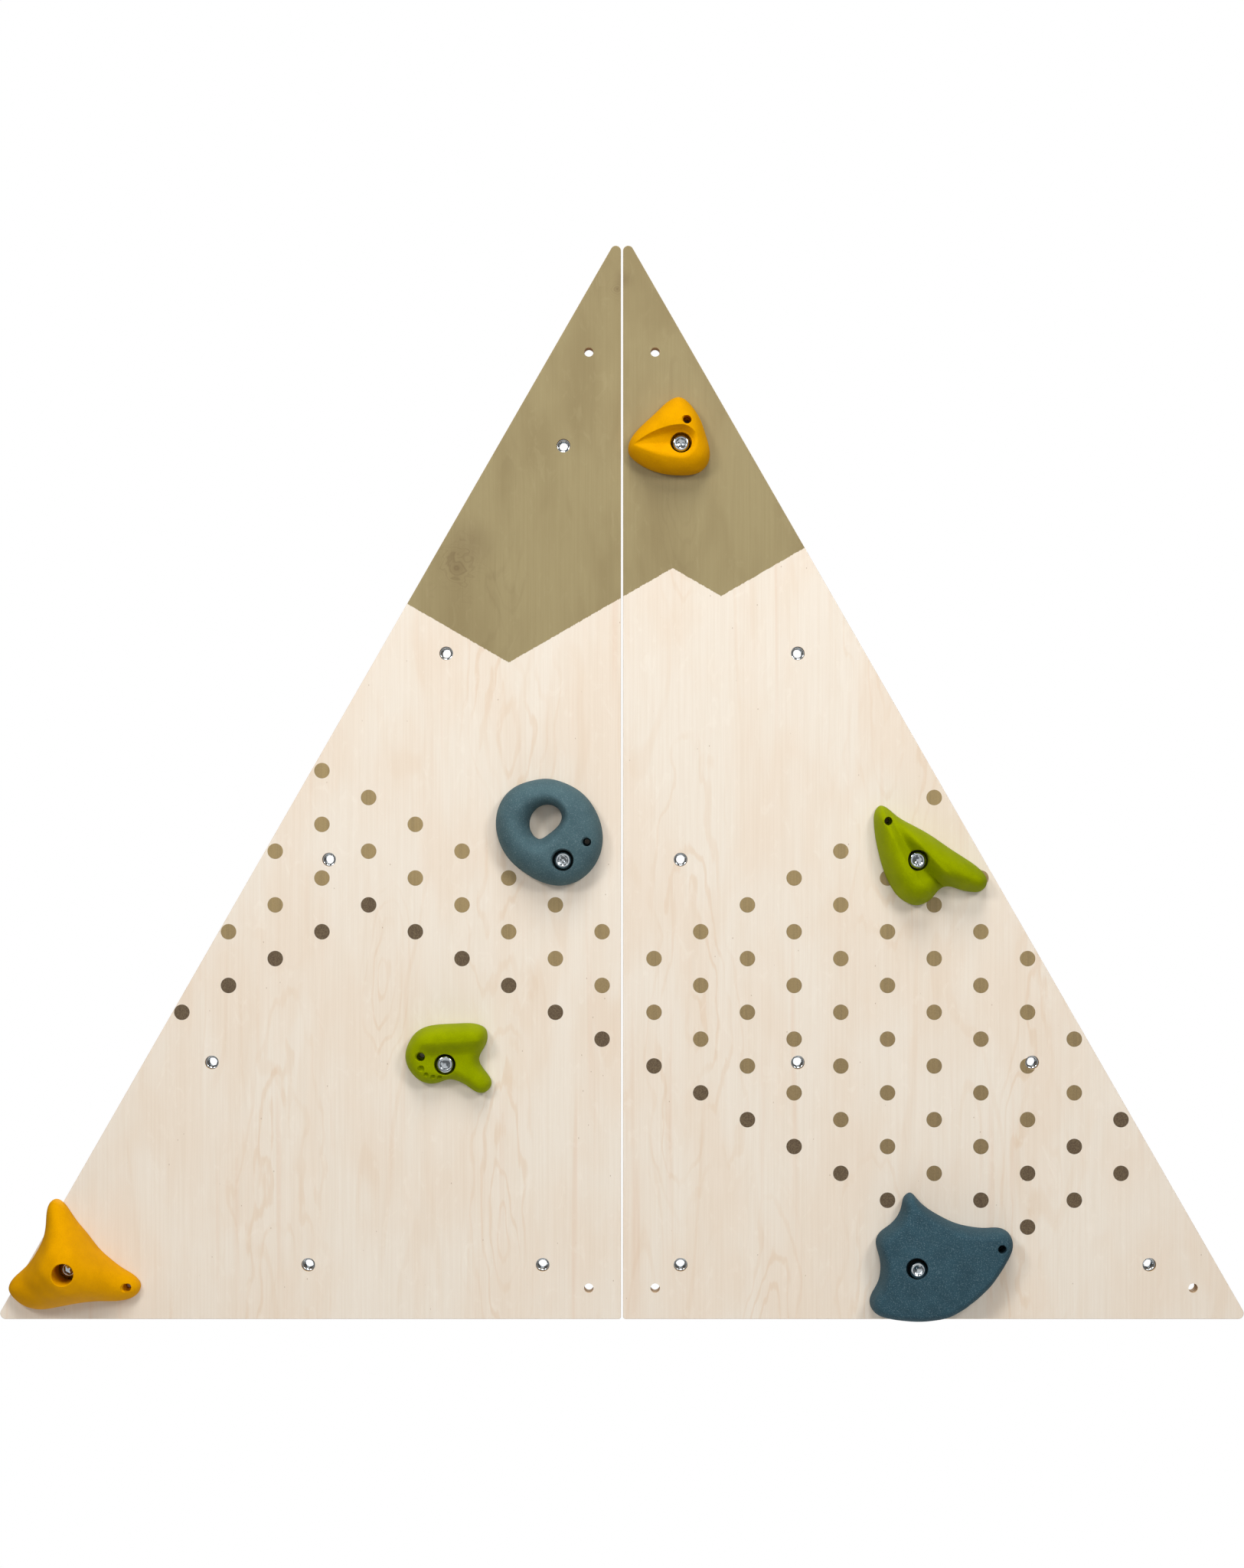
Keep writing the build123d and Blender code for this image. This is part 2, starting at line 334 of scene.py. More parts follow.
def surfaced(material, add, strength, distance, height, inputs):
    """The material, ended by a bump from this height and a shader with these inputs."""
    inputs["Normal"] = add("ShaderNodeBump", {"Strength": strength, "Distance": distance, "Height": height})
    add("ShaderNodeOutputMaterial", {0: add("ShaderNodeBsdfPrincipled", inputs)})
    return material


def knots(add, coords):
    """(how far the knots push the growth rings aside, how dark they are). A knot is a ragged dark curl with a
    core, and a soft cloud above it."""
    ragged = add("ramp", stretched(add, coords, (30, 30, 17), 2.0, 0.5, 0.6, (5, 5, 5)), 0.3, 0.7, 0.5, 1.6)
    pushed, dark = 0.0, 0.0
    for knot_x, knot_z, radius in KNOTS:
        gap = add("distance", coords, (knot_x, FRONT, knot_z))
        pushed = add("MULTIPLY_ADD", add("ramp", gap, radius * 3.2, 0.0), 0.16, pushed)
        torn = add("MULTIPLY", gap, ragged)
        curl = add("ramp", add("SINE", add("MULTIPLY", torn, TURN / (0.45 * radius))), 0.0, 1.0)
        curl = add("MULTIPLY", curl, add("ramp", torn, 1.9 * radius, 0.6 * radius))
        core = add("ramp", torn, 0.9 * radius, 0.1 * radius)
        high = (knot_x + 1.2 * radius, FRONT, knot_z + 1.8 * radius)
        cloud = add("ramp", add("distance", coords, high), 2.6 * radius, 0.0)
        for part, share in ((curl, 0.45), (core, 0.65), (cloud, 0.60)):
            dark = add("MULTIPLY_ADD", part, share, dark)
    return pushed, dark


def flames(add, coords, veneer, flame):
    """The flame pattern with the nested lines of FLAMES added: their ellipses sway and are a little jagged."""
    sway = stretched(add, veneer, (42, 42, 110), 2.0, 0.5, 0.0, (4, 4, 9))
    jag = stretched(add, veneer, (7, 7, 60), 2.0, 0.6, 0.0, (2, 4, 6))
    faint = add("ramp", stretched(add, veneer, (26, 26, 130), 2.0, 0.5, 0.0, (1, 4, 1)), 0.38, 0.62, 0.15, 1.0)
    for flame_x, flame_z, half_width, half_height in FLAMES:
        scale = (1 / half_width, 0, 1 / half_height)
        back = (-flame_x / half_width, 0, -flame_z / half_height)
        centred = add("ShaderNodeMapping", {0: coords, 1: back, 3: scale})
        reach = add("ShaderNodeVectorMath", {0: centred}, out=1, operation="LENGTH")
        reach = add("MULTIPLY_ADD", sway, 0.9, reach)
        reach = add("MULTIPLY_ADD", jag, 0.16, reach)
        line = add("ramp", add("SINE", add("MULTIPLY", reach, TURN * FLAME_LINES)), 0.45, 1.0)
        flame = add("MULTIPLY_ADD", add("MULTIPLY", line, faint), add("ramp", reach, 1.6, 1.0), flame)
    return flame


def birch_plywood(colours):
    """Lacquered birch plywood, 15 mm. The face is rotary-cut veneer: pale cream with pinkish blotches, faint
    upright flames where the growth rings surface, and fine upright fibres. The cap is stained olive, and the
    grain shows through. The cut edges show the plies, light and dark in turn, with thin glue lines."""
    material, add, coords = blank("birch_plywood_clear_lacquer")
    x, y, z = add("ShaderNodeSeparateXYZ", {0: coords}).node.outputs
    facing = add("ShaderNodeSeparateXYZ", {0: add("ShaderNodeNewGeometry", out=1)}, out=1)
    flat = add("ABSOLUTE", facing)
    # the two panels are cut from different sheets, so the right one's veneer is moved along
    side = add("GREATER_THAN", x, 0.0)
    shift = add("ShaderNodeCombineXYZ", {0: side, 2: add("MULTIPLY", side, 2.7)})
    veneer = add("ShaderNodeVectorMath", {0: coords, 1: shift}, operation="ADD")

    pushed, knot_dark = knots(add, coords)
    rings = add("ADD", stretched(add, veneer, (120, 120, 620), 2.5, 0.45, 0.25), pushed)
    figure = add("SINE", add("MULTIPLY", rings, TURN * RING_LINES))
    shown = add("ramp", stretched(add, veneer, (60, 60, 260), 2.0, 0.5, 0.0, (9, 3, 2)), 0.46, 0.64, 0.0, 0.5)
    flame = flames(add, coords, veneer, add("MULTIPLY", add("ramp", figure, 0.70, 1.0), shown))
    blotch = add("ramp", stretched(add, veneer, (55, 55, 150), 3.0, 0.55, 0.3, (3, 1, 5)), 0.36, 0.66)
    fibre = stretched(add, veneer, (1.6, 1.6, 95), 4.0, 0.6)
    streak = stretched(add, veneer, (13, 13, 420), 2.0, 0.5, 0.1, (7, 2, 1))
    ripple = stretched(add, veneer, (11, 11, 24), 3.0, 0.6, 1.2, (1, 8, 3))
    fleck = add("ShaderNodeTexVoronoi", {"Vector": add("ShaderNodeMapping", {0: veneer, 3: (14, 14, 9)})})

    pale = add("mix", blotch, colours.wood_pale, colours.wood_warm)
    pale = add("mix", add("MULTIPLY", flame, 0.36), pale, "#DBBE9F")
    pale = layered(add, pale, [
        (streak, 0.60, 0.80, 0.36, "#DBB99C"),
        (fibre, 0.30, 0.72, 0.15, "#CFB798"),
        (ripple, 0.55, 0.75, 0.25, "#F3EADC"),
        (fleck, 0.045, 0.02, 0.55, "#9A7A58"),
    ])
    stain = add("mix", blotch, colours.cap_light, colours.cap_dark)
    stain = add("mix", add("MULTIPLY", flame, 0.22), stain, "#83724E")
    stain = layered(add, stain, [(fibre, 0.30, 0.72, 0.22, "#86764F"), (ripple, 0.55, 0.75, 0.22, "#AA9C74")])
    stain = add("mix", add("MULTIPLY", knot_dark, 0.60), stain, "#705C3C")

    # height of the cap's edge: each turning point adds or takes its slope times the distance from it
    edge = BOTTOM + CAP_HEIGHT
    for sign, turn in zip((1, -1, 1), CAP_TURNS):
        edge = add("MULTIPLY_ADD", add("ABSOLUTE", add("SUBTRACT", x, turn)), sign * CAP_SLOPE, edge)
    bleed = add("ramp", stretched(add, veneer, (1.2, 1.2, 9), 2.0), 0.2, 0.8, -0.0005, 0.0005)
    above = add("ADD", add("SUBTRACT", z, edge), bleed)
    in_cap = add("MULTIPLY", add("ramp", above, -0.0003, 0.0003), add("ramp", facing, -0.45, -0.75))

    # plies across the cut edge, counted from the back face, with a glue line between each two
    depth = add("DIVIDE", add("MULTIPLY", y, -1.0), THICKNESS / PLIES)
    odd = add("GREATER_THAN", add("MODULO", depth, 2.0), 1.0)
    light_ply = add("mix", stretched(add, coords, (14, 0.5, 14), 3.0, 0.6), "#EAD6B8", "#D2B68F")
    dark_ply = add("mix", stretched(add, coords, (1.2, 0.6, 1.2), 3.0, 0.6), "#B48D60", "#8A6841")
    plies = add("mix", odd, light_ply, dark_ply)
    plies = layered(add, plies, [(add("PINGPONG", depth, 1.0), 0.10, 0.03, 0.55, "#5E4429")])

    rough = add("ramp", fibre, 0.3, 0.7, 0.42, 0.56)
    relief = add("MULTIPLY_ADD", fibre, 0.7, add("MULTIPLY", figure, 0.08))
    return surfaced(material, add, 0.5, 0.00012, relief, {
        "Base Color": add("mix", add("ramp", flat, 0.45, 0.75), plies, add("mix", in_cap, pale, stain)),
        "Roughness": add("ADD", rough, add("ramp", flat, 0.75, 0.45, 0.0, 0.25)),
        "IOR": 1.46,
        "Specular IOR Level": 0.35,
    })


def screen_ink(name, low, high):
    """Matt screen-printing ink, rolled on in one coat. It is flat and even, a little lighter towards the top of
    the wall, and the wood's fibres show through it as faint upright lines."""
    material, add, coords = blank(name)
    fibre = stretched(add, coords, (1.6, 1.6, 95), 4.0, 0.6)
    grain = stretched(add, coords, (0.9, 0.9, 1.2), 2.0, 0.6)
    height = add("ShaderNodeSeparateXYZ", {0: coords}, out=2)
    colour = add("mix", add("ramp", height, 0.05, 0.5), low, high)
    colour = layered(add, colour, [(fibre, 0.35, 0.7, 0.30, "#5F4F35"), (grain, 0.35, 0.7, 0.18, "#B7A47C")])
    return surfaced(material, add, 0.4, 0.00008, grain, {
        "Base Color": colour,
        "Roughness": add("ramp", grain, 0.3, 0.7, 0.55, 0.7),
    })


def bright_zinc(colours):
    """Bright zinc-plated steel, cold-headed and barrel-plated. Mirror-like but slightly soft, cool white, with
    fine handling scratches and cloudy patches of duller plating."""
    material, add, coords = blank("steel_bright_zinc_plated")
    cloud = stretched(add, coords, (2.5, 2.5, 2.5), 3.0, 0.6)
    scratch = stretched(add, coords, (0.25, 0.25, 6), 3.0, 0.7, 0.4)
    rough = add("ramp", cloud, 0.35, 0.7, 0.06, 0.14)
    return surfaced(material, add, 0.25, 0.00005, scratch, {
        "Base Color": add("mix", add("ramp", cloud, 0.35, 0.7), colours.zinc, "#B4BDC4"),
        "Metallic": 1.0,
        "Roughness": add("ADD", rough, add("ramp", scratch, 0.55, 0.7, 0.0, 0.12)),
    })


def black_phosphate_as_shade():
    """Steel with a black phosphate finish, stamped. Nearly black and waxy, a little browner where it has worn.
    Its near black
    is also painted shade: it makes the washers read as the dark gap round the bolt heads.
    """
    material, add, coords = blank("steel_black_phosphate_painted_shade")
    cloud = stretched(add, coords, (1.5, 1.5, 1.5), 4.0, 0.6)
    return surfaced(material, add, 0.4, 0.00005, cloud, {
        "Base Color": add("mix", add("ramp", cloud, 0.4, 0.75), "#1B1B1D", "#2E2A27"),
        "Metallic": 0.6,
        "Roughness": add("ramp", cloud, 0.3, 0.7, 0.5, 0.68),
    })


def cast_resin(name, body, deep, worn_and_lit, gloss):
    """Polyester resin with quartz sand, cast in a rubber mould. Its skin is matt and sandy to the eye: grains of
    about 0.4 mm, drawn 1.1 mm across so that they show, on a soft mottle where the pigment settled, paler
    on the edges: partly where hands and boots have rubbed them, partly as a painted highlight where the edges
    face up and to the front. The attribute that marks them is 1 on those edges and 0 elsewhere."""
    material, add, coords = blank(name)
    grit = stretched(add, coords, (1.1, 1.1, 1.1), 2.0, 0.65)
    fine = stretched(add, coords, (0.45, 0.45, 0.45), 1.0, 0.5)
    mottle = stretched(add, coords, (16, 16, 16), 3.0, 0.55)
    colour = layered(add, body, [
        (mottle, 0.32, 0.68, 0.45, deep), (grit, 0.50, 0.72, 0.30, worn_and_lit), (grit, 0.48, 0.30, 0.28, deep)
    ])
    # the edge attribute mixes rubbed wear with a painted highlight on edges that face up and to the front, where
    # the light catches them
    wear_and_highlight = add("ShaderNodeAttribute", out=2, attribute_name="wear_and_highlight")
    wear_and_highlight = add("MULTIPLY", wear_and_highlight, add("ramp", mottle, 0.42, 0.58))
    # paler chips on those edges: partly rubbed wear, partly painted highlight
    chips_and_highlights = add("ramp", add("MULTIPLY_ADD", wear_and_highlight, 0.20, grit), 0.66, 0.74)
    return surfaced(material, add, 0.55, 0.00045, add("MULTIPLY_ADD", fine, 0.35, grit), {
        "Base Color": add("mix", add("MULTIPLY", chips_and_highlights, add("MULTIPLY", wear_and_highlight, 0.75)), colour, worn_and_lit),
        "Roughness": add("ramp", grit, 0.3, 0.7, 0.62, 0.80),
        "IOR": 1.52,
        "Specular IOR Level": 0.22,
        "Specular Tint": gloss,
    })


# ---------------------------------------------------------------------------------------------------------
# The holds. Outlines, screw places and pockets repeat the CAD's, in millimetres about the bolt's axis.


def along_line(x, y, start, end):
    """(share of the way from start to end, held to 0..1, and the distance from that place) of each point."""
    run = np.array(end, float) - start
    share = np.clip(((x - start[0]) * run[0] + (y - start[1]) * run[1]) / (run @ run), 0, 1)
    off = np.hypot(x - start[0] - share * run[0], y - start[1] - share * run[1])
    return share, off


def scoop_top(x, y):
    """A dome with a teardrop scoop: the scoop widens along its axis from a point to 16 mm about the bolt, and
    its wall falls steeply from the upper rim and gently from the lower one."""
    share, off = along_line(x, y, (-45.0, -1.5), (0.0, 0.0))
    radius = 0.6 + 15.8 * (1 - (1 - share) ** 1.9)
    above = np.clip((y + 1.5 * (1 - share)) / np.maximum(off, 0.1), -1, 1)
    wall = 0.80 - 0.30 * above
    fall = np.clip((1 - off / radius) / wall, 0, 1)
    crisp = 0.9 * np.clip(above, 0, 1)
    scoop = 11.0 * share**0.7 * (crisp * fall * (2 - fall) + (1 - crisp) * smooth(fall))
    return 29.5 - 0.0016 * ((x + 5) ** 2 + (y - 5) ** 2) - scoop


def ring_top(x, y):
    """A level ring, a little lower round the bolt."""
    return 31.0 - 2.2 * np.exp(-((x - 4) ** 2 + (y + 4) ** 2) / 16.0**2)


def shelf_top(x, y):
    """A shelf that swells out above a crease: the height rises in an S from the crease to the crest."""
    fade = smooth((x + 34) / 20)
    crease = 8.0 + 0.05 * x
    swell = smooth((y - crease) / 15)
    plain = smooth((y + 16) / 44)
    return 18.5 + 8.8 * (fade * swell + (1 - fade) * 0.75 * plain) + 0.04 * np.abs(x - 5)


def peak_top(x, y):
    """A peak that falls off as a bell curve towards three low horns."""
    return 15.5 + 36.5 * np.exp(-(((x + 1) ** 2 + (y + 1) ** 2) / 37.0**2))


def valley_top(x, y):
    """Two ridges with a valley between them: the height rises from the valley's line, sharply to the ridge on
    the upper right and to a crisp crest on the lower left."""
    along = 0.638 * x - 0.770 * y
    across = 0.770 * x + 0.638 * y - 5.0 * np.minimum((along / 45) ** 2, 1.3)
    floor = 21.0 - 0.11 * along
    right = (35.0 - floor) * smooth(across / 12)
    reach = 8.0 + 5.5 * smooth((along + 30) / 60)
    left = (33.0 - floor) * lesser(-across / reach, 1.0, 0.12)
    fall = 0.10 * np.maximum(along - 18, 0) * (across > 0)
    return floor + np.where(across > 0, right, np.maximum(left, 0)) - fall


def fin_top(x, y):
    """A broad shallow dome that runs out along each of the three horns."""
    return 27.5 + 8.0 * np.exp(-(((x - 8) ** 2 + (y + 4) ** 2) / 52.0**2))


# top: the height of the skin inside its edge; seat: the washer's seat; edge: how wide the round-over is;
# full: how square-shouldered it is; pin: the screw hole; worn: how worn the edges are and how strong the
# painted highlight on them is; recess_shift: how far the mouth of the bolt's recess is from its axis;
# dimples: x, y and radius
HOLDS = {
    "yellow_scoop": {
        "top": scoop_top, "seat": 5.9, "edge": 21.0, "full": 2.1, "pin": (5.7, 21.5), "colour": "yellow",
        "outline": [
            (-2, 46), (11, 37), (20, 22), (25, 7), (28, -6), (26, -18), (18, -26), (2, -29), (-14, -28),
            (-31, -23), (-43, -16), (-50, -8), (-50, 1), (-46, 9), (-36, 20), (-23, 32), (-12, 42),
        ],
    },
    "slate_ring": {
        "top": ring_top, "seat": 10.9, "edge": 25.0, "full": 2.1, "pin": (23, 17.5), "colour": "slate",
        "outline": [
            (-16, 78), (1, 74), (17, 65), (29, 51), (36, 35), (38, 19), (35, 4), (27, -10), (15, -20),
            (-1, -25), (-17, -23), (-37, -13), (-52, 0), (-61, 15), (-65, 32), (-63, 49), (-56, 62), (-45, 71),
            (-31, 76),
        ],
        "pocket": [
            (-15, 53), (-4, 48), (-1.5, 40.5), (-6, 31.5), (-15, 24), (-23.5, 20), (-30, 25), (-32.5, 36.5),
            (-27, 48),
        ],
        "pocket_centre": (-17, 37),
    },
    "green_shelf": {
        "top": shelf_top, "seat": 5.9, "edge": 12.5, "full": 2.0, "pin": (-23, 7.5), "colour": "green",
        "outline": [
            (-31, 27), (-21, 34), (-6, 37), (13, 38), (31, 37), (38, 33), (40, 24), (37, 15), (33, 8), (32, 3),
            (35, -4), (41, -12), (44, -19), (41, -26), (34, -29), (26, -26), (17, -20), (10, -17), (2, -16),
            (-7, -19), (-15, -20), (-23, -18), (-31, -12), (-37, -3), (-39, 5), (-38, 14), (-35, 21),
        ],
        "dimples": [(-22.8, -3.8, 3.4), (-18.0, -9.7, 2.5), (-11.4, -11.8, 2.5), (-5.2, -12.4, 2.6)],
    },
    "yellow_peak": {
        "top": peak_top, "seat": 10.9, "edge": 17.0, "full": 2.0, "pin": (54, -19), "colour": "yellow",
        "outline": [
            (-17, 64), (-9, 60), (-3, 52), (4, 42), (14, 30), (25, 16), (36, 6), (48, -3), (59, -10), (65, -19),
            (62, -27), (54, -32), (43, -34), (24, -34), (4, -36), (-16, -40), (-32, -42), (-46, -39),
            (-57, -31), (-62, -22), (-59, -14), (-51, -6), (-42, 3), (-34, 15), (-28, 28), (-26, 41), (-25, 54),
            (-22, 61),
        ],
    },
    "green_valley": {
        "top": valley_top, "seat": 10.9, "edge": 16.0, "full": 1.6, "pin": (-28, 37.5), "colour": "green",
        "outline": [
            (-34, 52), (-26, 49), (-19, 43), (-4, 34), (14, 24), (33, 11), (53, -2), (64, -11), (69, -20),
            (67, -27), (61, -31), (53, -31), (43, -29), (33, -26), (26, -27), (21, -31), (16, -37), (9, -42),
            (2, -44), (-7, -42), (-17, -35), (-24, -25), (-31, -9), (-36, 9), (-39, 25), (-40, 37), (-39, 46),
        ],
    },
    "slate_fin": {
        "top": fin_top, "seat": 15.9, "worn_and_lit": 1.0, "edge": 9.0, "full": 2.3, "pin": (80, 20), "colour": "navy",
        "recess_shift": (-2.1, 2.7),
        "outline": [
            (-5, 70), (1, 65), (9, 57), (25, 47), (38, 41), (55, 37), (68, 36), (81, 36), (90, 31), (93, 22),
            (90, 11), (82, -3), (71, -18), (56, -32), (42, -42), (30, -48), (15, -51), (0, -52), (-15, -51),
            (-32, -48), (-41, -43), (-44, -36), (-42, -27), (-37, -18), (-34, -8), (-34, 4), (-37, 16),
            (-38, 24), (-34, 32), (-25, 39), (-17, 48), (-13, 59), (-11, 66),
        ],
    },
}

RECESS, BORE, RIM = 10.2, 5.25, 0.9  # radii of the bolt's recess and bore, and of the recess's soft rim
FOOT, LIFT = 2.0, 0.1  # the hold's side stands straight up to FOOT, and its base is LIFT clear of the ink
COLUMNS, SURFACE_ROWS = 300, 100
# how strongly the edges are worn and carry their painted highlight, where a hold gives no value of its own
USUAL_WEAR_AND_HIGHLIGHT = 0.25


def ring_at(centre, radius, angles):
    """The points at these angles of a circle, or of a curve whose radius is given for each angle."""
    return np.stack([centre[0] + radius * np.cos(angles), centre[1] + radius * np.sin(angles)], 1)


def at_angles(curve, centre, angles):
    """Where a closed curve round a centre is crossed at these angles about it."""
    off = curve - np.array(centre, float)
    found = np.unwrap(np.arctan2(off[:, 1], off[:, 0]))
    order = np.argsort(found % TURN)
    known = (found % TURN)[order]
    reach = np.hypot(*off[order].T)
    return ring_at(centre, np.interp(angles % TURN, known, reach, period=TURN), angles)


def hold_surface(shape):
    """The hold's outer skin from its outline in to its middle hole. A grid runs from the outline to the hole,
    closer together at both ends. Its height is the top's own height times a round-over, which is one minus
    a power of what is left of the edge's width, all to the inverse power. Gives x, y, h and the angles."""
    outline, normal = loop_through(shape["outline"], COLUMNS)
    dense = loop_through(shape["outline"], 900)[0]
    pocket = shape.get("pocket")
    centre = shape["pocket_centre"] if pocket else shape.get("recess_shift", (0.0, 0.0))
    angles = np.arctan2(*(outline - centre).T[::-1])
    if pocket:
        pocket_curve = loop_through(pocket, 600)[0]
        inner = at_angles(pocket_curve, centre, angles)
    else:
        inner = ring_at(centre, RECESS + RIM, angles)
    share = (1 - np.cos(np.linspace(0, math.pi, SURFACE_ROWS))) / 2
    where = outline + (inner - outline) * share[:, None, None]
    straight = -np.einsum("rcd,cd->rc", where - outline, normal)
    soft = soft_distance(where, dense)
    gap = straight + (soft - straight) * smooth((straight - 1.0) / 3.0)
    x, y = where[..., 0], where[..., 1]
    left = 1 - np.clip(gap / shape["edge"], 0, 1)
    rolled = (1 - left ** shape["full"]) ** (1 / shape["full"])
    top = shape["top"](x, y)
    # slow unevenness left by the hand-carved master
    top = top + 0.35 * np.sin(x / 7.3 + 1.1) * np.sin(y / 8.1) + 0.2 * np.sin((x + y) / 3.9)
    if pocket:
        # the skin rolls over into the pocket, and the roll is widest on the left
        bearing = np.arctan2(y - centre[1], x - centre[0])
        width = 9.0 + 15.5 * (0.5 + 0.5 * np.cos(bearing - math.radians(185))) ** 1.3
        inward = soft_distance(where, pocket_curve) * smooth(share / 0.02)[:, None]
        inward[-1] = 0.0
        left = 1 - np.clip(inward / width, 0, 1)
        lip = 5.0  # height at which the roll meets the pocket's wall
        top = lip + (top - lip) * (1 - left**2.2) ** (1 / 2.2)
    height = FOOT + (top - FOOT) * rolled
    return np.stack([x, y, height], -1), angles, outline, normal, centre


def level_rows(ring, height):
    """A ring of points at one height, or at a height for each point."""
    return np.concatenate([ring, np.broadcast_to(height, len(ring))[:, None]], 1)


def worn_and_lit_edges(mesh, at, outline):
    """How worn and lit each vertex is: a bell curve of its distance from the outline, on the hold's outer part,
    times how far it faces up and to the front. That facing adds a painted highlight, where light from above and
    in front catches the edges, to the rubbed wear."""
    place, normal = np.zeros((2, len(mesh.vertices), 3))
    mesh.vertices.foreach_get("co", place.reshape(-1))
    mesh.vertices.foreach_get("normal", normal.reshape(-1))
    local = (place[:, ::2] - at) / MM
    from_edge = soft_distance(local, loop_through(outline, 300)[0])
    outer = smooth(((FRONT - place[:, 1]) / MM - 8) / 10)
    # facing up and to the front is where light from above and in front catches the edges: this factor paints
    # highlight, not wear
    faces_up, faces_front = smooth((normal[:, 2] - 0.3) / 0.4), smooth((-normal[:, 1] - 0.2) / 0.4)
    return np.exp(-(((from_edge - 1.2) / 1.6) ** 2)) * outer * faces_up * faces_front


def hold_mesh(name, shape, sizes):
    """The hold as one closed grid that is joined both ways: over the skin, round the rim, down the recess, in
    across the washer's seat, down the bore, out under the base and up the foot. The screw hole, dimples and
    the ring's bolt hole are then carved out of it."""
    skin, angles, outline, normal, centre = hold_surface(shape)
    seat = shape["seat"]
    rows = list(skin)
    if "pocket" in shape:
        lip = skin[-1]
        rows += [level_rows(lip[:, :2], lip[:, 2] + (LIFT - lip[:, 2]) * t) for t in np.linspace(0.15, 1, 7)]
        inner = lip[:, :2]
    else:
        edge = skin[-1][:, 2]
        for a in np.radians((22.5, 45, 67.5, 90)):
            ring = ring_at(centre, RECESS + RIM * (1 - math.sin(a)), angles)
            rows.append(level_rows(ring, edge - RIM * (1 - math.cos(a))))
        low = edge - RIM
        mouth = rows[-1][:, :2]  # the recess may lean: its foot is on the bolt's axis even where its mouth isn't
        rows += [level_rows(mouth - np.array(centre) * t, low + (seat - low) * t) for t in np.linspace(0.2, 1, 5)]
        rows.append(level_rows(ring_at((0, 0), (RECESS + BORE) / 2, angles), seat))
        inner = ring_at((0, 0), BORE, angles)
        rows += [level_rows(inner, seat + (LIFT - seat) * t) for t in np.linspace(0, 1, 4)]
    foot = outline - 0.6 * normal
    rows += [level_rows(inner + (foot - inner) * t, LIFT) for t in np.linspace(0.12, 1, 8)]
    rows += [level_rows(foot + (outline - foot) * math.sin(a), LIFT + (FOOT - LIFT) * (1 - math.cos(a)))
             for a in np.radians((30, 60))]
    body = np.stack(rows)

    def surface_at(px, py):
        near = np.argmin((skin[..., 0] - px) ** 2 + (skin[..., 1] - py) ** 2)
        return skin[..., 2].flat[near]

    pin_x, pin_y = shape["pin"]
    brink = surface_at(pin_x, pin_y)
    soft = sizes.pin_chamfer / MM
    through, head = 2.6, 4.1  # radii for the screw and for its head
    profile = [(through, -3), (through, 6), (head, 6), (head, brink - soft)]
    profile += [(head + 2.2 * soft, brink + 1.2 * soft), (5.5, 70)]
    cutters = [shell(turned(profile, 40) + (pin_x, pin_y, 0), joined=False)]
    for dent_x, dent_y, radius in shape.get("dimples", []):
        tilt = np.radians(np.linspace(4, 176, 16))
        ball = turned([(radius * math.sin(a), -radius * math.cos(a)) for a in tilt], 32)
        cutters.append(shell(ball + (dent_x, dent_y, surface_at(dent_x, dent_y)), joined=False))
    if "pocket" in shape:
        brink = surface_at(0, 0)
        profile = [(BORE, -3), (BORE, seat), (RECESS, seat)]
        profile += [(RECESS, brink - 1.5), (RECESS + 1.4, brink + 1.5), (RECESS + 2.0, 70)]
        cutters.append(shell(turned(profile, 96), joined=False))

    at = centre_of("bolt_" + name)
    shapes = (shell(body), together(cutters))
    made = carve(*(new_mesh("hold", (on_wall(points, at), faces)) for points, faces in shapes))
    # rubbed wear and painted highlight on the edges, kept in one attribute
    wear_and_highlight = sizes.edge_wear * shape.get("worn_and_lit", USUAL_WEAR_AND_HIGHLIGHT) * worn_and_lit_edges(made, at, shape["outline"])
    made.attributes.new("wear_and_highlight", "FLOAT", "POINT").data.foreach_set("value", wear_and_highlight.astype(np.float32))
    return made


# ---------------------------------------------------------------------------------------------------------
# Nuts, bolts and dots


